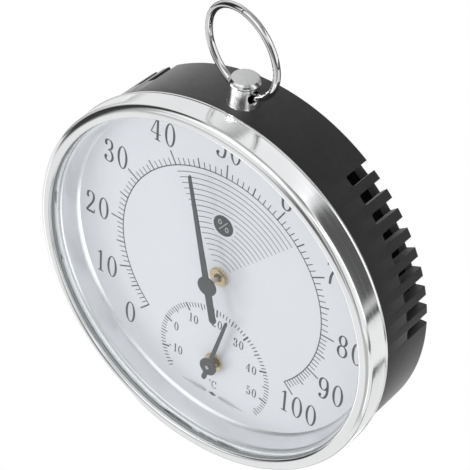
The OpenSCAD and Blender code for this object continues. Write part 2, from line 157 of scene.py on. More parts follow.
def carve(bm, cut, add=()):
    """A closed bmesh with others added to it first and then cut out of it."""
    jobs = [("UNION", tool) for tool in add] + [("DIFFERENCE", tool) for tool in cut]
    objects = []
    for k, source in enumerate([bm] + [tool for _, tool in jobs]):
        bmesh.ops.recalc_face_normals(source, faces=source.faces)
        mesh = bpy.data.meshes.new("carve_%d" % k)
        source.to_mesh(mesh)
        source.free()
        thing = bpy.data.objects.new("carve_%d" % k, mesh)
        bpy.context.scene.collection.objects.link(thing)
        objects.append(thing)
    for (operation, _), tool in zip(jobs, objects[1:]):
        step = objects[0].modifiers.new("carve", "BOOLEAN")
        step.operation = operation
        step.solver = "EXACT"
        step.object = tool
    seen = objects[0].evaluated_get(bpy.context.evaluated_depsgraph_get())
    done = bmesh.new()
    done.from_mesh(seen.to_mesh())
    for thing in objects:
        mesh = thing.data
        bpy.data.objects.remove(thing)
        bpy.data.meshes.remove(mesh)
    return done


def prism(outline, place, low, high):
    """Closed solid between two copies of a 2-D outline; place maps (u, v, w) to a point."""
    bm = bmesh.new()
    bottom = [bm.verts.new(place(u, v, low)) for u, v in outline]
    top = [bm.verts.new(place(u, v, high)) for u, v in outline]
    bm.faces.new(bottom)
    bm.faces.new(list(reversed(top)))
    for i in range(len(outline)):
        j = (i + 1) % len(outline)
        bm.faces.new((bottom[i], top[i], top[j], bottom[j]))
    return bm


def joined(parts):
    """One bmesh of several that don't touch."""
    out = bmesh.new()
    for part in parts:
        mesh = bpy.data.meshes.new("join")
        part.to_mesh(mesh)
        part.free()
        out.from_mesh(mesh)
        bpy.data.meshes.remove(mesh)
    return out


def arc(cx, cy, rx, ry, start, end, steps):
    """Points of an ellipse's arc; angles in degrees, counter-clockwise from +x."""
    out = []
    for k in range(steps + 1):
        t = radians(start + (end - start) * k / steps)
        out.append((cx + rx * cos(t), cy + ry * sin(t)))
    return out


# Materials


class Graph:
    """Shorthand for building a node tree."""

    def __init__(self, tree):
        self.nodes = tree.nodes
        self.links = tree.links

    def node(self, kind, **values):
        made = self.nodes.new("ShaderNode" + kind)
        for key, value in values.items():
            setattr(made, key, value)
        return made

    def link(self, output, target):
        self.links.new(output, target)
        return target

    def math(self, operation, a, b=None, c=None):
        made = self.node("Math", operation=operation)
        for socket, value in zip(made.inputs, (a, b, c)):
            if value is None:
                continue
            if isinstance(value, (int, float)):
                socket.default_value = value
            else:
                self.link(value, socket)
        return made.outputs[0]


class Shader(Graph):
    """A Principled material."""

    def __init__(self, name, **values):
        self.material = bpy.data.materials.new(name)
        self.material.use_nodes = True
        super().__init__(self.material.node_tree)
        self.bsdf = self.nodes["Principled BSDF"]
        for key, value in values.items():
            self.bsdf.inputs[key.replace("_", " ")].default_value = value

    def place(self, shift=(0, 0, 0), stretch=(1, 1, 1)):
        """The object's own coordinates, shifted and then stretched."""
        coordinates = self.node("TexCoord").outputs["Object"]
        mapping = self.node("Mapping")
        mapping.inputs["Location"].default_value = [-s * k for s, k in zip(shift, stretch)]
        mapping.inputs["Scale"].default_value = stretch
        self.link(coordinates, mapping.inputs["Vector"])
        return mapping.outputs["Vector"]

    def turned(self, axis, fine, along, shift=(0, 0, 0)):
        """Coordinates in which marks run round an axis: fine across them and slow along them."""
        parts = self.node("SeparateXYZ")
        self.link(self.place(shift), parts.inputs[0])
        names = {"Y": ("X", "Z", "Y"), "Z": ("X", "Y", "Z")}[axis]
        u, v, height = [parts.outputs[n] for n in names]
        radius = self.length(u, v)
        angle = self.math("ARCTAN2", u, v)
        out = self.node("CombineXYZ")
        self.link(self.math("MULTIPLY", radius, fine), out.inputs[0])
        self.link(self.math("MULTIPLY", height, fine), out.inputs[1])
        self.link(self.math("MULTIPLY", angle, along), out.inputs[2])
        return out.outputs[0]

    def length(self, u, v):
        squares = [self.math("MULTIPLY", value, value) for value in (u, v)]
        return self.math("SQRT", self.math("ADD", *squares))

    def noise(self, vector, scale, detail):
        made = self.node("TexNoise")
        made.inputs["Scale"].default_value = scale
        made.inputs["Detail"].default_value = detail
        self.link(vector, made.inputs["Vector"])
        return made.outputs["Fac"]

    def cells(self, vector, scale):
        made = self.node("TexVoronoi", feature="SMOOTH_F1")
        made.inputs["Scale"].default_value = scale
        self.link(vector, made.inputs["Vector"])
        return made.outputs["Distance"]

    def spread(self, source, low, high, start=0.3, end=0.7):
        """Maps a texture to values between low and high."""
        made = self.node("MapRange")
        for name, value in (("From Min", start), ("From Max", end), ("To Min", low), ("To Max", high)):
            made.inputs[name].default_value = value
        self.link(source, made.inputs["Value"])
        return made.outputs["Result"]

    def colours(self, source, first, second, start=0.3, end=0.7):
        """Colour that goes from first to second with a texture."""
        ramp = self.node("ValToRGB")
        ramp.color_ramp.elements[0].position = start
        ramp.color_ramp.elements[1].position = end
        ramp.color_ramp.elements[0].color = (*first, 1)
        ramp.color_ramp.elements[1].color = (*second, 1)
        self.link(source, ramp.inputs["Fac"])
        self.link(ramp.outputs["Color"], self.bsdf.inputs["Base Color"])

    def rough(self, source, low, high):
        self.link(self.spread(source, low, high), self.bsdf.inputs["Roughness"])

    def lengthwise(self, amount):
        """Smears reflections on upright faces along the Z axis, as fine marks round that axis do."""
        tangent = self.node("Tangent", direction_type="RADIAL", axis="Z")
        self.link(tangent.outputs[0], self.bsdf.inputs["Tangent"])
        parts = self.node("SeparateXYZ")
        self.link(self.node("TexCoord").outputs["Normal"], parts.inputs[0])
        upright = self.math("LESS_THAN", self.math("ABSOLUTE", parts.outputs[2]), 0.95)
        self.link(self.math("MULTIPLY", upright, amount), self.bsdf.inputs["Anisotropic"])
        self.bsdf.inputs["Anisotropic Rotation"].default_value = 0.25

    def bump(self, *layers):
        """Stacked bumps, each (height source, distance in metres, strength)."""
        normal = None
        for source, distance, strength in layers:
            made = self.node("Bump")
            made.inputs["Distance"].default_value = distance
            made.inputs["Strength"].default_value = strength
            self.link(source, made.inputs["Height"])
            if normal is not None:
                self.link(normal, made.inputs["Normal"])
            normal = made.outputs["Normal"]
        self.link(normal, self.bsdf.inputs["Normal"])


def moulded_black():
    s = Shader("black_case", Specular_IOR_Level=0.48, Sheen_Weight=0.6, Sheen_Roughness=0.35)
    where = s.place()
    mottle = s.noise(where, 140.0, 4.0)
    s.colours(mottle, (0.0085, 0.0085, 0.0087), (0.0135, 0.0135, 0.0137))
    s.rough(s.noise(where, 600.0, 3.0), 0.5, 0.6)
    s.bump((s.noise(where, 5200.0, 3.0), 0.00003, 0.5), (s.cells(where, 3800.0), 0.00003, 0.35))
    return s.material


def polished_aluminium():
    s = Shader("polished_aluminium", Metallic=1.0)
    lines = s.turned("Y", fine=2600.0, along=1.2)
    broad = s.place()
    s.colours(s.noise(broad, 60.0, 3.0), (0.87, 0.875, 0.885), (0.925, 0.93, 0.935))
    s.rough(s.noise(lines, 1.0, 3.0), 0.1, 0.17)
    s.bump((s.noise(lines, 1.0, 2.0), 0.000004, 0.35), (s.noise(broad, 170.0, 2.0), 0.00012, 0.05))
    return s.material


def satin_aluminium():
    s = Shader("satin_aluminium", Metallic=1.0)
    lines = s.turned("Y", fine=900.0, along=1.0)
    s.colours(s.noise(s.place(), 70.0, 3.0), (0.9, 0.91, 0.92), (0.95, 0.955, 0.96))
    s.rough(s.noise(lines, 1.0, 3.0), 0.3, 0.36)
    s.bump((s.noise(lines, 1.0, 2.0), 0.000004, 0.15))
    return s.material


def clear_glass():
    s = Shader("clear_glass", Metallic=1.0, Roughness=0.0, Base_Color=(0.95, 0.97, 0.98, 1))
    through = s.node("BsdfTransparent")
    through.inputs["Color"].default_value = (0.99, 0.992, 0.995, 1)
    smear = s.noise(s.place(), 35.0, 3.0)
    s.link(s.spread(smear, 0.0, 0.03), s.bsdf.inputs["Roughness"])
    fresnel = s.node("Fresnel")
    inside = s.node("NewGeometry").outputs["Backfacing"]
    side = s.math("SUBTRACT", 1.0, s.math("MULTIPLY", inside, 2.0))
    s.link(s.math("POWER", 1.4, side), fresnel.inputs["IOR"])
    mix = s.node("MixShader")
    s.link(fresnel.outputs[0], mix.inputs[0])
    s.link(through.outputs[0], mix.inputs[1])
    s.link(s.bsdf.outputs[0], mix.inputs[2])
    s.link(mix.outputs[0], s.nodes["Material Output"].inputs["Surface"])
    return s.material


def clear_gasket():
    """Milky where it is seen from above, with painted dark green grey shade under the lip and at the glass's
    edge.
    """
    s = Shader("clear_gasket", Specular_IOR_Level=0.5)
    where = s.place()
    parts = s.node("SeparateXYZ")
    s.link(where, parts.inputs[0])
    x, y, z = parts.outputs
    radius = s.length(x, z)
    # Painted shade: masks that darken the gasket under the bezel's lip and in the groove at the glass's
    # edge, where the lip shades it
    painted_shade_under_lip = s.spread(y, 1.0, 0.0, -(LENS_OVER + 0.15) * MM, -(LENS_OVER - 0.05) * MM)
    painted_shade_at_edge = s.spread(radius, 0.0, 1.0, (GASKET_IN - 0.55) * MM, (GASKET_IN - 0.25) * MM)
    cloud = s.spread(s.noise(where, 400.0, 3.0), -0.06, 0.06)
    shade = s.math("ADD", s.math("MAXIMUM", painted_shade_under_lip, painted_shade_at_edge), cloud)
    # The dark second colour is the painted shade under the lip; the first is the milky gasket
    s.colours(shade, (0.8, 0.83, 0.84), (0.2, 0.215, 0.21), 0.05, 0.95)
    s.rough(s.noise(where, 900.0, 3.0), 0.3, 0.42)
    s.bump((s.noise(where, 900.0, 4.0), 0.00002, 0.3))
    return s.material


def dial_silver():
    s = Shader("dial_silver", Roughness=0.5, Specular_IOR_Level=0.45)
    where = s.place()
    s.colours(s.noise(where, 45.0, 4.0), (0.77, 0.785, 0.818), (0.79, 0.805, 0.838))
    s.rough(s.noise(where, 1500.0, 2.0), 0.42, 0.55)
    s.bump((s.noise(s.place(stretch=(1, 1, 0.12)), 3000.0, 2.0), 0.000006, 0.3))
    return s.material


def printing_ink():
    s = Shader("printing_ink", Roughness=0.45)
    grain = s.noise(s.place(), 1800.0, 3.0)
    s.colours(grain, (0.031, 0.034, 0.037), (0.044, 0.048, 0.052))
    s.rough(grain, 0.4, 0.55)
    s.bump((grain, 0.000005, 0.2))
    return s.material


def light_ink():
    s = Shader("light_ink", Roughness=0.45)
    grain = s.noise(s.place(), 1800.0, 3.0)
    s.colours(grain, (0.6, 0.63, 0.65), (0.68, 0.71, 0.73))
    s.rough(grain, 0.4, 0.55)
    return s.material


def hand_grey():
    s = Shader("hand_grey", Roughness=0.5, Specular_IOR_Level=0.4)
    where = s.place()
    s.colours(s.noise(where, 300.0, 3.0), (0.05, 0.052, 0.056), (0.062, 0.064, 0.069))
    s.rough(s.noise(where, 1600.0, 3.0), 0.42, 0.56)
    s.bump((s.noise(where, 3500.0, 2.0), 0.000012, 0.3))
    return s.material


def metal(name, dark, light, low, high, axis="Y", depth=0.000008):
    """A turned or drawn metal: its marks run round an axis."""
    s = Shader(name, Metallic=1.0)
    lines = s.turned(axis, fine=3000.0, along=2.0)
    s.colours(s.noise(s.place(), 240.0, 3.0), dark, light)
    s.rough(s.noise(lines, 1.0, 3.0), low, high)
    s.bump((s.noise(lines, 1.0, 2.0), depth, 0.4))
    return s.material


def turned_chrome():
    """Chrome over fine turning marks, which draw every reflection out along the knob."""
    s = Shader("chrome", Metallic=1.0)
    streaks = s.turned("Z", fine=60.0, along=7.0, shift=KNOB_AXIS)
    s.colours(s.noise(streaks, 1.0, 3.0), (0.6, 0.605, 0.61), (0.68, 0.682, 0.685))
    s.rough(s.noise(streaks, 1.0, 2.0), 0.13, 0.17)
    s.lengthwise(0.6)
    return s.material


materials = {
    "black_case": moulded_black(),
    "polished_aluminium": polished_aluminium(),
    "satin_aluminium": satin_aluminium(),
    "clear_glass": clear_glass(),
    "clear_gasket": clear_gasket(),
    "dial_silver": dial_silver(),
    "printing_ink": printing_ink(),
    "light_ink": light_ink(),
    "hand_grey": hand_grey(),
    "brass": metal("brass", (0.6, 0.48, 0.28), (0.77, 0.65, 0.42), 0.22, 0.36),
    "steel": metal("steel", (0.62, 0.58, 0.55), (0.76, 0.72, 0.69), 0.4, 0.52),
    "zinc_steel": metal("zinc_steel", (0.56, 0.58, 0.6), (0.7, 0.71, 0.72), 0.28, 0.42),
    "coated_strip": metal("coated_strip", (0.34, 0.3, 0.2), (0.5, 0.45, 0.32), 0.4, 0.6),
    "bimetal": metal("bimetal", (0.42, 0.39, 0.34), (0.58, 0.55, 0.49), 0.3, 0.45),
    "chrome": turned_chrome(),
    "nickel_wire": metal("nickel_wire", (0.69, 0.69, 0.685), (0.76, 0.76, 0.755), 0.03, 0.06, "Z", 0.000002),
}


# Case and window


VENT_GROUPS = (60.0, 180.0, 300.0)  # middles of the groups, clockwise from the top
VENTS = 9  # in each group
VENT_PITCH = 6.0
VENT_W = 2.75
VENT_L = 8.4
VENT_CORNER = 0.6


def vent_tool(at):
    """A vent's cutter, at degrees clockwise from the top."""
    half, length, radius = VENT_W / 2, VENT_L, VENT_CORNER
    outline = [(-half, -1.0)] + arc(-half + radius, length - radius, radius, radius, 180, 90, 4)
    outline += arc(half - radius, length - radius, radius, radius, 90, 0, 4) + [(half, -1.0)]
    turn = Matrix.Rotation(radians(at), 3, "Y")

    def place(u, h, r):
        return turn @ (Vector((u, -h, r)) * MM)

    return prism(outline, place, 46.2, 50.2)


def slot_tool():
    """Cutter of the calibration lever's curved slot in the back wall."""
    middle, half_width = 16.0, 1.7
    reach = 16.7  # degrees from the top to the middle of each round end
    outline = []
    for side in (1, -1):
        for k in range(25):
            a = radians(side * (2 * reach * k / 24 - reach))
            r = middle + side * half_width
            outline.append((r * sin(a), r * cos(a)))
        for k in range(1, 8):
            a, t = radians(side * reach), pi * k / 8
            r = middle + side * half_width * cos(t)
            across = side * half_width * sin(t)
            outline.append((r * sin(a) + across * cos(a), r * cos(a) - across * sin(a)))

    def place(u, v, w):
        return Vector((u, -w, v)) * MM

    return prism(outline, place, -1.0, 3.0)


def upright_round(radius, low, high, steps):
    """Closed cylinder on the knob's axis, from one height over the dial's centre to another."""
    rim = arc(0, 0, radius, radius, 0, 360 - 360 / steps, steps - 1)
    return prism(rim, lambda u, v, w: Vector((u, v + KNOB_Y, w)) * MM, low, high)


def vent_edges(bm):
    """Sharp edges of the vents in the case."""
    inner, reach, over = 46.1, 26.5, VENT_L + 0.2
    found = []
    for edge in bm.edges:
        if len(edge.link_faces) != 2 or edge.calc_face_angle(0) < radians(50):
            continue
        middle = (edge.verts[0].co + edge.verts[1].co) / 2
        radius = hypot(middle.x, middle.z) / MM
        angle = degrees(atan2(middle.x, middle.z)) % 120.0
        if radius > inner and abs(angle - 60.0) < reach and -middle.y / MM < over:
            found.append(edge)
    return found


def make_case():
    land_r, hollow, rim_land_r = 21.0, 0.5, 43.85
    back_r, front_r, rim_r = 48.85, 49.0, 48.35
    seat_r, cavity_r, floor = 47.5, 46.3, 2.0
    profile = [(0.0, 0.0), (land_r, 0.0), (land_r + hollow, hollow), (rim_land_r - hollow, hollow),
               (rim_land_r, 0.0), (back_r, 0.0), (front_r, SKIRT_REAR), (rim_r, SKIRT_REAR),
               (rim_r, GASKET_UNDER), (seat_r, GASKET_UNDER), (seat_r, DIAL_UNDER),
               (cavity_r, DIAL_UNDER), (cavity_r, floor), (0.0, floor)]
    profile = rounded(profile, {1: 0.4, 2: 0.3, 3: 0.3, 4: 0.4, 5: 0.25, 12: 1.2})
    body = lathe(profile, 360, about_dial)
    pad_half, pad_in, pad_out = 5.5, 45.5, 47.0
    pad = prism([(-pad_half, pad_in), (pad_half, pad_in), (pad_half, pad_out), (-pad_half, pad_out)],
                lambda u, v, w: Vector((u, -w, v)) * MM, 1.5, 14.8)
    places = [(k - (VENTS - 1) / 2) * VENT_PITCH for k in range(VENTS)]
    vents = [vent_tool(group + at) for group in VENT_GROUPS for at in places]
    seat = upright_round(KNOB_FOOT_R + SEAT_GAP, KNOB_FOOT, 50.2, 60)
    hole = upright_round(STUD_R + SEAT_GAP, 44.3, 49.0, 36)
    bm = carve(body, [joined(vents), slot_tool(), seat, hole], [pad])
    bmesh.ops.bevel(bm, geom=vent_edges(bm), offset=0.13 * MM, segments=2, profile=0.5, affect="EDGES",
                    clamp_overlap=True)
    piece = new_object("case_shell", bm, materials["black_case"], "housing", 40)
    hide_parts("case")


def make_bezel():
    window_r, skirt_in, front_r = 46.4, 48.4, 49.7
    crest_r, crest = 47.505, 24.7
    rise, fall = 0.55, 1.6  # heights of the lip's inner and outer quarters
    lip = arc(crest_r, crest - rise, crest_r - window_r, rise, 180, 90, 15)
    lip += arc(crest_r, crest - fall, front_r - crest_r, fall, 90, 0, 15)[1:]
    profile = [(skirt_in, SKIRT_REAR), (skirt_in, LIP_UNDER), (window_r + 0.05, LIP_UNDER),
               (window_r, LIP_UNDER + 0.05)] + lip
    wall = [(49.74, 22.0), (49.78, 20.8), (49.81, 19.4), (49.82, 18.6), (49.82, 18.35)]
    bead = [(49.84, 18.22), (49.92, 18.14), (49.97, 18.02), (49.98, 17.86), (49.97, 17.72),
            (49.91, 17.62), (49.83, SKIRT_REAR)]
    bm = lathe(profile + wall + bead, 384, about_dial)
    piece = new_object("bezel_ring", bm, materials["polished_aluminium"], "housing", 50)
    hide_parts("bezel")


def make_gasket():
    flange_r, gasket_r = 46.2, 48.25
    profile = [(flange_r, GASKET_UNDER), (gasket_r, GASKET_UNDER), (gasket_r, LIP_UNDER),
               (flange_r, LIP_UNDER), (flange_r, LENS_OVER), (GASKET_IN, LENS_OVER),
               (GASKET_IN, LENS_UNDER), (flange_r, LENS_UNDER)]
    profile = rounded(profile, {0: 0.1, 3: 0.12, 4: 0.1, 7: 0.1}, 3)
    bm = lathe(profile, 256, about_dial)
    piece = new_object("lens_gasket_ring", bm, materials["clear_gasket"], "housing", 50)
    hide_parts("lens_gasket")


def make_reflector():
    outer_r = 47.4
    wall = [(44.0, DIAL_FACE), (44.12, 15.92), (44.35, 16.15), (44.58, 16.45), (44.74, 16.85),
            (44.84, 17.4), (44.94, 18.3), (45.06, 19.4), (45.22, 20.7), (45.32, 21.02), (45.48, 21.24),
            (45.7, 21.38), (45.85, GASKET_UNDER)]
    bm = lathe(wall + [(outer_r, GASKET_UNDER), (outer_r, DIAL_FACE)], 256, about_dial)
    piece = new_object("reflector_cone", bm, materials["satin_aluminium"], "housing", 50)
    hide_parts("reflector_ring")


def make_bush(name, node, place):
    bore, barrel, flange, cup = 0.6, 1.9, 2.6, 1.0
    low, top, cup_floor = 11.0, 16.4, 15.6
    profile = [(bore, low), (barrel, low), (barrel, DIAL_FACE), (flange, DIAL_FACE), (flange, top),
               (cup + 0.25, top), (cup, top - 0.15), (cup, cup_floor), (bore, cup_floor)]
    profile = rounded(profile, {4: 0.22, 5: 0.1})
    bm = lathe(profile, 96, place)
    piece = new_object(name, bm, materials["brass"], "housing", 40)
    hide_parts(node)


# Hanger


EYE_TURN = 14.0  # degrees that the cross hole is turned about the knob's axis
EYE_HEIGHT = 3.4  # height of the cross hole over the knob's foot
EYE_R = 1.6
RING_MIDDLE = 11.35  # radius of the wire's middle line
WIRE = 0.89  # radius of the wire
RING_TURN = 10.7  # degrees that the ring is turned about the knob's axis
RING_LEAN = 4.8  # degrees that its top leans towards the front
RING_SIDE = -0.55  # where the ring hangs in the hole, to the side and down
RING_DROP = -0.5
JOINT_AT = 4.0  # place of the wire's joint, clockwise from the top
JOINT_GAP = 0.12


def about_knob(a, r, h):
    return Vector((r * sin(a), KNOB_Y + r * cos(a), KNOB_FOOT + h)) * MM


def make_knob():
    foot, neck, waist, flare = 0.3, 5.55, 3.5, 12
    stem = []
    for k in range(flare + 1):
        spread = (KNOB_FOOT_R - waist) * (1 - k / flare) ** 2
        stem.append((waist + spread, foot + (neck - foot) * k / flare))
    stud_l, rim_r, top = 6.2, 3.85, 7.1
    profile = [(0.0, -stud_l), (STUD_R, -stud_l), (STUD_R, 0.0), (KNOB_FOOT_R, 0.0)] + stem
    head = len(profile)
    profile += [(rim_r, 6.0), (rim_r, 6.2), (3.575, 6.7), (3.2, top), (0.0, top)]
    soft = {3: 0.05, head - 1: 0.2, head: 0.08, head + 1: 0.08, head + 2: 0.08, head + 3: 0.08}
    body = lathe(rounded(profile, soft), 192, about_knob)
    eye = Vector((0, KNOB_Y, KNOB_FOOT + EYE_HEIGHT))
    turn = Matrix.Rotation(radians(-EYE_TURN), 3, "Z")

    def along(a, r, w):
        return (eye + turn @ Vector((w, r * cos(a), r * sin(a)))) * MM

    half = [(EYE_R, 3.1), (1.63, 3.28), (1.74, 3.44), (2.0, 3.7), (2.0, 5.0), (0.0, 5.0)]
    mouth = [(r, -w) for r, w in reversed(half)] + half
    bm = carve(body, [lathe(mouth, 64, along)])
    piece = new_object("knob_turned", bm, materials["chrome"], "housing", 35)
    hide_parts("hanger_knob")


def make_ring():
    """Round wire bent into a ring; its ends are slightly rounded and meet almost in line."""
    turn = Matrix.Rotation(radians(-RING_TURN), 3, "Z") @ Matrix.Rotation(radians(RING_LEAN), 3, "X")
    eye = Vector((0, KNOB_Y, KNOB_FOOT + EYE_HEIGHT))
    middle = Vector((RING_SIDE, 0, RING_DROP + RING_MIDDLE))
    half_gap = degrees(JOINT_GAP / 2 / RING_MIDDLE)
    ends = (0.0, 0.02, 0.08, 0.2, 0.5, 1.2, 2.5, 5.0)
    stations = [half_gap + e for e in ends]
    stations += [half_gap + 7.5 + (345 - 2 * half_gap) * k / 138 for k in range(139)]
    stations += [360 - half_gap - e for e in reversed(ends)]
    bm = bmesh.new()
    rows = []
    for a in stations:
        end = min(a, 360 - a) - half_gap
        small = 1 - 0.16 * max(0.0, 1 - end / 0.5) ** 2
        slip = 0.05 * max(0.0, 1 - end / 14) ** 2 * (-1 if a < 180 else 0.4)
        w = radians(a + JOINT_AT)
        row = []
        for u, v in arc(0, 0, WIRE * small, WIRE * small, 0, 350, 35):
            r = RING_MIDDLE + slip + u
            row.append(bm.verts.new((eye + turn @ (middle + Vector((r * sin(w), v, r * cos(w))))) * MM))
        rows.append(row)
    sides = len(rows[0])
    for here, there in zip(rows, rows[1:]):
        for k in range(sides):
            n = (k + 1) % sides
            bm.faces.new((here[k], there[k], there[n], here[n]))
    bm.faces.new(rows[0])
    bm.faces.new(list(reversed(rows[-1])))
    piece = new_object("wire_ring", bm, materials["nickel_wire"], "ring", 50)
    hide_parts("hanging_ring")


# Printing


PRINT_FOOT = 0.002  # height of the printing's lower edge over the dial


class Print:
    """Thin printing on the dial: flat shapes that stand a hair proud of its face."""

    def __init__(self, height):
        self.bm = bmesh.new()
        self.height = height

    def strip(self, left, right, closed=False):
        """A band between two rows of points."""
        sides = (left, right)
        low = [[self.bm.verts.new(dial_point(x, y, PRINT_FOOT)) for x, y in side] for side in sides]
        top = [[self.bm.verts.new(dial_point(x, y, self.height)) for x, y in side] for side in sides]
        count = len(left)
        for i in range(count if closed else count - 1):
            j = (i + 1) % count
            self.bm.faces.new((top[0][i], top[1][i], top[1][j], top[0][j]))
            for side in (0, 1):
                self.bm.faces.new((low[side][i], top[side][i], top[side][j], low[side][j]))
        if not closed:
            for i in (0, -1):
                self.bm.faces.new((low[0][i], low[1][i], top[1][i], top[0][i]))

    def line(self, points, widths, closed=False):
        """A line through the points with its width at each of them."""
        left, right = [], []
        count = len(points)
        for i, (x, y) in enumerate(points):
            before = points[(i - 1) % count] if closed or i else points[0]
            after = points[(i + 1) % count] if closed or i < count - 1 else points[-1]
            dx, dy = after[0] - before[0], after[1] - before[1]
            size = hypot(dx, dy) or 1.0
            nx, ny = -dy / size * widths[i] / 2, dx / size * widths[i] / 2
            left.append((x + nx, y + ny))
            right.append((x - nx, y - ny))
        self.strip(left, right, closed)

    def disc(self, x, y, radius, steps=20):
        rim = arc(x, y, radius, radius, 0, 360 - 360 / steps, steps - 1)
        top = [self.bm.verts.new(dial_point(u, v, self.height)) for u, v in rim]
        low = [self.bm.verts.new(dial_point(u, v, PRINT_FOOT)) for u, v in rim]
        self.bm.faces.new(top)
        for i in range(steps):
            j = (i + 1) % steps
            self.bm.faces.new((low[i], top[i], top[j], low[j]))

    def finish(self, name, material):
        piece = new_object(name, self.bm, material, "housing", 30)


def curve(points):
    """A smooth line through the points."""
    steps = 8
    out = []
    count = len(points)
    for i in range(count - 1):
        p0 = points[max(i - 1, 0)]
        p1, p2 = points[i], points[i + 1]
        p3 = points[min(i + 2, count - 1)]
        for k in range(steps):
            t = k / steps
            out.append(tuple(
                0.5 * (2 * b + (c - a) * t + (2 * a - 5 * b + 4 * c - d) * t * t
                       + (3 * b - a - 3 * c + d) * t ** 3)
                for a, b, c, d in zip(p0, p1, p2, p3)))
    out.append(tuple(points[-1]))
    return out


THICK, THIN = 0.088, 0.036  # main and hair strokes, as shares of a numeral's height

# Strokes of the numerals in a box one high: ("pen", points) swells where it runs up and down,
# ("bar", points, width) keeps its width, ("dot", x, y, radius) is a round end and ("oval", ...) a bowl
NUMERALS = {
    "0": (0.45, [
        ("oval", 0.225, 0.5, 0.18, 0.482),
    ]),
    "1": (0.34, [
        ("bar", [(0.18, 0.02), (0.18, 0.985)], THICK),
        ("bar", [(0.05, 0.018), (0.31, 0.018)], THIN),
        ("bar", [(0.16, 0.985), (0.12, 0.9), (0.04, 0.86)], THIN),
    ]),
    "2": (0.45, [
        ("pen", [(0.07, 0.73), (0.1, 0.92), (0.21, 0.982), (0.33, 0.92), (0.37, 0.75), (0.32, 0.55),
                 (0.2, 0.33), (0.08, 0.14), (0.035, 0.04)]),
        ("dot", 0.085, 0.72, 0.052),
        ("bar", [(0.035, 0.045), (0.39, 0.045)], 0.085),
        ("bar", [(0.385, 0.03), (0.415, 0.19)], THIN),
    ]),
    "3": (0.45, [
        ("pen", [(0.06, 0.77), (0.1, 0.93), (0.2, 0.982), (0.32, 0.93), (0.36, 0.76), (0.3, 0.59),
                 (0.17, 0.525)]),
        ("pen", [(0.17, 0.525), (0.31, 0.48), (0.39, 0.27), (0.32, 0.07), (0.19, 0.018),
                 (0.08, 0.07), (0.045, 0.22)]),
        ("dot", 0.085, 0.765, 0.052),
        ("dot", 0.08, 0.22, 0.055),
    ]),
    "4": (0.47, [
        ("bar", [(0.3, 0.985), (0.02, 0.29)], THIN),
        ("bar", [(0.015, 0.275), (0.45, 0.275)], THIN),
        ("bar", [(0.31, 0.02), (0.31, 0.985)], THICK),
        ("bar", [(0.19, 0.018), (0.43, 0.018)], THIN),
    ]),
    "5": (0.45, [
        ("bar", [(0.075, 0.955), (0.37, 0.955)], 0.075),
        ("bar", [(0.08, 0.985), (0.075, 0.52)], THIN),
        ("pen", [(0.075, 0.53), (0.14, 0.6), (0.22, 0.618), (0.35, 0.54), (0.395, 0.33),
                 (0.34, 0.09), (0.2, 0.018), (0.09, 0.07), (0.05, 0.2)]),
        ("dot", 0.085, 0.2, 0.055),
    ]),
    "6": (0.45, [
        ("pen", [(0.375, 0.84), (0.34, 0.95), (0.24, 0.982), (0.13, 0.88), (0.065, 0.67),
                 (0.055, 0.4), (0.09, 0.12), (0.225, 0.018), (0.35, 0.1), (0.395, 0.3), (0.35, 0.5),
                 (0.24, 0.575), (0.13, 0.52), (0.07, 0.4)]),
        ("dot", 0.345, 0.84, 0.05),
    ]),
    "7": (0.45, [
        ("bar", [(0.035, 0.945), (0.42, 0.945)], 0.085),
        ("bar", [(0.045, 0.97), (0.03, 0.78)], THIN),
        ("pen", [(0.415, 0.93), (0.3, 0.66), (0.2, 0.38), (0.17, 0.02)]),
    ]),
    "8": (0.45, [
        ("oval", 0.225, 0.758, 0.14, 0.225),
        ("oval", 0.225, 0.27, 0.175, 0.255),
    ]),
    "9": (0.45, [
        ("pen", [(0.075, 0.16), (0.11, 0.05), (0.21, 0.018), (0.32, 0.12), (0.385, 0.33),
                 (0.395, 0.6), (0.36, 0.88), (0.225, 0.982), (0.1, 0.9), (0.055, 0.7), (0.1, 0.5),
                 (0.21, 0.425), (0.32, 0.48), (0.38, 0.6)]),
        ("dot", 0.105, 0.16, 0.05),
    ]),
    "-": (0.3, [
        ("bar", [(0.03, 0.45), (0.27, 0.45)], 0.07),
    ]),
    "C": (0.62, [
        ("pen", [(0.56, 0.72), (0.48, 0.92), (0.33, 0.982), (0.14, 0.86), (0.05, 0.5), (0.14, 0.14),
                 (0.33, 0.018), (0.49, 0.08), (0.57, 0.24)]),
        ("bar", [(0.56, 0.98), (0.565, 0.68)], THIN),
    ]),
}


def swell(points, size):
    """Widths of a pen stroke: thick where it runs up or down and thin where it runs across."""
    out = []
    for i in range(len(points)):
        a, b = points[max(i - 1, 0)], points[min(i + 1, len(points) - 1)]
        dx, dy = b[0] - a[0], b[1] - a[1]
        share = abs(dy) / (hypot(dx, dy) or 1.0)
        out.append(size * (THIN + (THICK - THIN) * share ** 1.8))
    return out


def put_text(page, text, x, y, size, gap, weight):
    """Writes numerals centred on (x, y), size high; gap is a share of the size."""
    widths = [NUMERALS[c][0] * size for c in text]
    left = x - (sum(widths) + gap * size * (len(text) - 1)) / 2
    low = y - size / 2
    for c, w in zip(text, widths):
        for stroke in NUMERALS[c][1]:
            kind = stroke[0]
            if kind == "oval":
                cx, cy, rx, ry = [v * size for v in stroke[1:]]
                points = arc(left + cx, low + cy, rx, ry, 0, 351, 39)
                upright = [abs(cos(radians(9 * k))) ** 1.6 for k in range(40)]
                heavy = [size * weight * (THIN + (THICK - THIN) * v) for v in upright]
                page.line(points, heavy, closed=True)
            elif kind == "pen":
                points = [(left + u * size, low + v * size) for u, v in curve(stroke[1])]
                page.line(points, [v * weight for v in swell(points, size)])
            elif kind == "bar":
                points = [(left + u * size, low + v * size) for u, v in stroke[1]]
                page.line(points, [stroke[2] * size * weight] * len(points))
            else:
                page.disc(left + stroke[1] * size, low + stroke[2] * size, stroke[3] * size * weight)
        left += w + gap * size


def around(x, y, at, r):
    """The point at degrees clockwise from up round (x, y)."""
    return (x + r * sin(radians(at)), y + r * cos(radians(at)))


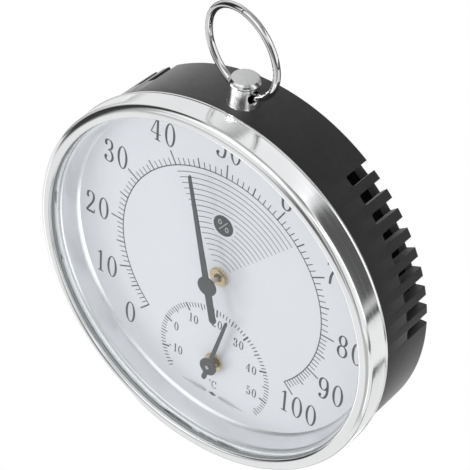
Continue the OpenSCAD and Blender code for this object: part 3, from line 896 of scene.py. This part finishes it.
# Angles of every fifth percent, clockwise from the top: the scale is uneven
PERCENT_AT = [-135.3, -124.6, -114.3, -101.1, -88.0, -73.2, -58.6, -44.1, -28.8, -14.5, 0.7,
              15.4, 30.6, 45.2, 60.6, 75.5, 91.0, 102.9, 115.4, 125.4, 135.3]
NUDGED = {40: (-0.2, 0.2), 90: (-0.25, 0), 100: (-1.2, 0)}  # labels a little off their places
COMFORT = (-29.5, 44.7)  # degrees from the top between which the arcs lie
BADGE = (0.25, 15.8)  # middle of the round percent badge


def graded(value, ten, five, one):
    """Picks what a tick of the value has, the radius of its free end and its width."""
    return ten if value % 10 == 0 else five if value % 5 == 0 else one


def print_humidity_scale(page):
    tick_r, rim_r, numeral_r, numeral_h = 29.9, 30.0, 38.4, 6.7
    for k in range(101):
        i = min(k // 5, 19)
        share = (k - 5 * i) / 5
        at = PERCENT_AT[i] * (1 - share) + PERCENT_AT[i + 1] * share
        outer, wide = graded(k, (33.8, 0.36), (32.6, 0.33), (31.9, 0.22))
        page.line([around(0, 0, at, tick_r), around(0, 0, at, outer)], [wide, wide])
        if k % 10 == 0:
            x, y = around(0, 0, at, numeral_r)
            right, up = NUDGED.get(k, (0, 0))
            put_text(page, str(k), x + right, y + up, numeral_h, 0.17, 1.12)
    first, last = PERCENT_AT[0], PERCENT_AT[-1]
    rim = [around(0, 0, first + (last - first) * k / 180, rim_r) for k in range(181)]
    page.line(rim, [0.26] * len(rim))


def print_comfort_arcs(page):
    """Arcs round the dial's middle that leave room for the badge."""
    first_r, pitch, wide, room = 4.5, 1.49, 0.17, 3.55
    for k in range(17):
        runs = [[]]
        for j in range(121):
            at = COMFORT[0] + (COMFORT[1] - COMFORT[0]) * j / 120
            x, y = around(0, 0, at, first_r + pitch * k)
            if hypot(x - BADGE[0], y - BADGE[1]) < room:
                runs.append([])
            else:
                runs[-1].append((x, y))
        for run in runs:
            if len(run) > 1:
                page.line(run, [wide] * len(run))


def print_small_scale(page):
    tick_r, numeral_h = 16.9, 2.7
    per_degree, upright = 3.46, 20  # turn for each degree of heat, and what stands straight up
    for c in range(-16, 57):
        at = (c - upright) * per_degree
        inner, wide = graded(c, (14.6, 0.46), (15.0, 0.3), (15.55, 0.24))
        page.line([around(0, SMALL_Y, at, inner), around(0, SMALL_Y, at, tick_r)], [wide, wide])
    labels = {-10: (-11.4, -30.5), 0: (-12.2, -23.3), 10: (-7.0, -17.65), 20: (0.15, -15.15),
              30: (6.9, -17.7), 40: (11.2, -23.35), 50: (11.7, -30.7)}
    for c, (x, y) in labels.items():
        put_text(page, str(abs(c)), x, y, numeral_h, 0.2, 1.4)
    put_text(page, "-", -13.9, -30.45, numeral_h, 0.2, 1.3)
    put_text(page, "C", 0.35, -35.5, 2.4, 0.2, 1.2)
    ring = arc(-0.95, -34.75, 0.25, 0.25, 0, 345, 23)
    page.line(ring, [0.11] * len(ring), closed=True)


def print_rule(page):
    """A plain rule with a lozenge in the middle, under the small scale."""
    y = -38.8
    for side in (-1, 1):
        page.line([(side * 1.9, y), (side * 9.6, y)], [0.3, 0.08])
        for hair in (y - 0.62, y + 0.62):
            page.line([(side * 2.2, hair), (side * 6.9, hair)], [0.1, 0.06])
    page.line([(-1.25, y), (0, y), (1.25, y)], [0.02, 1.15, 0.02])


def print_badge(page, light):
    x, y = BADGE
    page.disc(x, y, 2.9, 64)
    for cx, cy in ((-1.05, 0.75), (1.05, -0.75)):
        ring = arc(x + cx, y + cy, 0.42, 0.62, 0, 345, 23)
        light.line(ring, [0.2] * len(ring), closed=True)
    light.line([(x - 1.15, y - 1.45), (x + 1.15, y + 1.45)], [0.17, 0.17])


def make_printing():
    page = Print(0.02)
    light = Print(0.03)  # on top of the badge's disc
    print_humidity_scale(page)
    print_comfort_arcs(page)
    print_small_scale(page)
    print_rule(page)
    print_badge(page, light)
    page.finish("dial_printing", materials["printing_ink"])
    light.finish("badge_mark", materials["light_ink"])


# Camera, light and the whole scene


def dress_frame():
    """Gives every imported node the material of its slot."""
    slots = {entry["node"]: entry["material_slot"] for entry in frame["record"]["subparts"]}
    for name, thing in frame["nodes"].items():
        for place in thing.material_slots:
            place.material = materials[slots[name]]


def make_camera():
    lens = bpy.data.cameras.new("camera")
    lens.lens = CAMERA_LENS
    lens.sensor_width = SENSOR
    lens.clip_start = 0.01
    lens.clip_end = 20
    camera = bpy.data.objects.new("camera", lens)
    right, up = Vector(CAMERA_RIGHT).normalized(), Vector(CAMERA_UP)
    back = right.cross(up).normalized()
    up = back.cross(right)
    turn = Matrix((right, up, back)).transposed().to_4x4()
    camera.matrix_world = Matrix.Translation(CAMERA_AT) @ turn
    bpy.context.scene.collection.objects.link(camera)
    bpy.context.scene.camera = camera


def direction(azimuth, elevation):
    """Unit vector; azimuth is from the front, positive to the right."""
    a, e = radians(azimuth), radians(elevation)
    return Vector((sin(a) * cos(e), -cos(a) * cos(e), sin(e)))


def softbox(name, azimuth, elevation, width, height, watts):
    """Rectangular light one metre away that faces the instrument; no piece mirrors it."""
    data = bpy.data.lights.new(name, "AREA")
    data.shape = "RECTANGLE"
    data.size = width
    data.size_y = height
    data.energy = watts
    lamp = bpy.data.objects.new(name, data)
    bpy.context.scene.collection.objects.link(lamp)
    away = direction(azimuth, elevation)
    lamp.matrix_world = Matrix.Translation(away) @ away.to_track_quat("Z", "Y").to_matrix().to_4x4()
    lamp.visible_glossy = False
    return lamp


ROOM_LEVEL = 0.58  # brightness that polished faces see where the list below leaves it alone
FILL = 0.76  # brightness of the room for every other light path

# What polished faces see round the white studio, each over the ones before: azimuth, elevation,
# half width, half height, lean (degrees of azimuth for each degree of elevation), soft edge and
# brightness
ROOM = [
    (0, -60, 400, 40, 0.0, 6, 0.85),
    (170, 56, 64, 9, 0.0, 5, 0.28),
    (172, 25, 20, 18, 0.0, 8, 0.36),
    (-14, 26, 42, 14, 0.0, 4, 1.0),
    (-12, 52, 40, 16, 0.0, 4, 1.35),
    (114, 20, 31, 28, 0.0, 3, 1.35),
    (-126, 20, 22, 30, 0.0, 8, 0.86),
    (-22, 4, 32, 14, 0.0, 5, 0.42),
    (-26, 7, 16, 5, 0.0, 5, 0.34),
    (50, 3, 26, 26, 0.0, 6, 0.12),
    (-74, 15, 17, 44, -0.25, 4, 0.035),
    (146, -14, 30, 5, 0.0, 2, 0.04),
    (78, 60, 6, 10, 0.0, 4, 0.1),
    (108, 64, 12, 10, 0.0, 4, 0.12),
    (178, -12, 18, 14, 0.0, 5, 0.2),
    (118, 25, 3, 30, 0.0, 3, 0.04),
    (133, 17, 12, 24, 0.0, 5, 0.09),
    (-2, -7, 12, 13, 0.0, 4, 0.12),
    (36, -38, 22, 20, 0.0, 4, 0.5),
    (104, -38, 46, 22, 0.0, 5, 0.06),
    (-100, -38, 28, 20, 0.0, 5, 0.08),
    (49, 38, 12, 8, 0.0, 4, 1.1),
    (-150, -36, 34, 30, 0.0, 8, 0.05),
    (165, -45, 30, 24, 0.0, 8, 0.1),
    (0, 90, 400, 12, 0.0, 6, 0.4),
]


def make_world():
    world = bpy.data.worlds.new("studio")
    bpy.context.scene.world = world
    world.use_nodes = True
    world.node_tree.nodes.clear()
    g = Graph(world.node_tree)
    parts = g.node("SeparateXYZ")
    g.link(g.node("TexCoord").outputs["Generated"], parts.inputs[0])
    x, y, z = parts.outputs
    azimuth = g.math("DEGREES", g.math("ARCTAN2", x, g.math("MULTIPLY", y, -1.0)))
    elevation = g.math("DEGREES", g.math("ARCSINE", z))
    value = ROOM_LEVEL
    for at, level, half_width, half_height, lean, soft, brightness in ROOM:
        above = g.math("SUBTRACT", elevation, level)
        aside = g.math("SUBTRACT", g.math("SUBTRACT", azimuth, at), g.math("MULTIPLY", above, lean))
        aside = g.math("ABSOLUTE", g.math("WRAP", aside, -180.0, 180.0))
        share = 1.0
        for off, half in ((aside, half_width), (g.math("ABSOLUTE", above), half_height)):
            edge = g.node("MapRange", interpolation_type="SMOOTHSTEP")
            edge.inputs["From Min"].default_value = half + soft
            edge.inputs["From Max"].default_value = half - soft
            g.link(off, edge.inputs["Value"])
            share = g.math("MULTIPLY", edge.outputs["Result"], share)
        value = g.math("ADD", g.math("MULTIPLY", share, brightness),
                       g.math("MULTIPLY", g.math("SUBTRACT", 1.0, share), value))
    mirrored = g.node("Background")
    g.link(value, mirrored.inputs["Strength"])
    fill = g.node("Background")
    fill.inputs["Strength"].default_value = FILL
    white = g.node("Background")
    for shown in (mirrored, fill, white):
        shown.inputs["Color"].default_value = (1, 1, 1, 1)
    path = g.node("LightPath")
    room = g.node("MixShader")
    g.link(path.outputs["Is Glossy Ray"], room.inputs[0])
    g.link(fill.outputs[0], room.inputs[1])
    g.link(mirrored.outputs[0], room.inputs[2])
    final = g.node("MixShader")
    g.link(path.outputs["Is Camera Ray"], final.inputs[0])
    g.link(room.outputs[0], final.inputs[1])
    g.link(white.outputs[0], final.inputs[2])
    g.link(final.outputs[0], g.node("OutputWorld").inputs["Surface"])


def card(name, azimuth, elevation, half_width, half_height, brightness):
    """Softbox of a given brightness; its half sizes are degrees as seen from the dial."""
    width, height = 2 * tan(radians(half_width)), 2 * tan(radians(half_height))
    return softbox(name, azimuth, elevation, width, height, brightness * pi * width * height)


def group_of(name, pieces):
    group = bpy.data.collections.new(name)
    for piece in pieces:
        group.objects.link(bpy.data.objects[piece])
    return group


def light_only(lamp, piece, shaded_by=None):
    """Keeps a light to one piece, which then mirrors it too.

    Where shaded_by is given, only it and the piece shade the light.
    """
    lamp.light_linking.receiver_collection = group_of(lamp.name + "_on", [piece])
    if shaded_by:
        lamp.light_linking.blocker_collection = group_of(lamp.name + "_off", [piece, shaded_by])
    lamp.visible_glossy = True


# Cards that light one piece each: name, azimuth, elevation, half width, half height and brightness
KNOB_CARDS = [
    ("knob_front", -42, -30, 24, 28, 36.0),
    ("knob_grey", 26, -34, 18, 24, 5.0),
    ("knob_line", 60, -30, 7, 24, 24.0),
]
RING_CARDS = [
    ("ring_side", 133, 20, 10, 24, 1.25),
    ("ring_low", 98, -38, 27, 19, 0.8),
    ("ring_low_left", -92, -38, 16, 19, 0.8),
]
BEZEL_CARDS = [
    ("bezel_under", -95, -40, 24, 20, 0.8),
    ("bezel_side", 56, 10, 22, 30, 0.75),
    ("bezel_low_side", 84, -40, 26, 18, 0.8),
    ("bezel_front", -24, 7, 20, 11, 0.5),
    ("bezel_top", 170, 56, 19, 11, 0.6),
    ("bezel_right", 127, -23, 14, 11, 0.8),
    ("bezel_low", 165, -46, 22, 15, 0.75),
    ("bezel_left", -142, -30, 18, 25, 0.8),
]


def make_lights():
    softbox("key", -24, 5, 0.4, 0.4, 1.7)
    softbox("left", -48, -30, 0.35, 0.35, 2.8)
    for values in KNOB_CARDS:
        light_only(card(*values), "knob_turned", "wire_ring")
    for values in RING_CARDS:
        light_only(card(*values), "wire_ring")
    light_only(card("cone", 55, -18, 32, 30, 1.25), "reflector_cone")
    light_only(softbox("gasket_front", 35, 40, 0.3, 0.3, 7.0), "lens_gasket_ring")
    for values in BEZEL_CARDS:
        light_only(card(*values), "bezel_ring")


dress_frame()
make_case()
make_bezel()
make_gasket()
make_reflector()
make_bush("humidity_bush_turned", "humidity_bush", about_dial)
make_bush("temperature_bush_turned", "temperature_bush", about_small_dial)
make_knob()
make_ring()
make_printing()
make_camera()
make_world()
make_lights()
bpy.context.scene.view_settings.view_transform = "Standard"
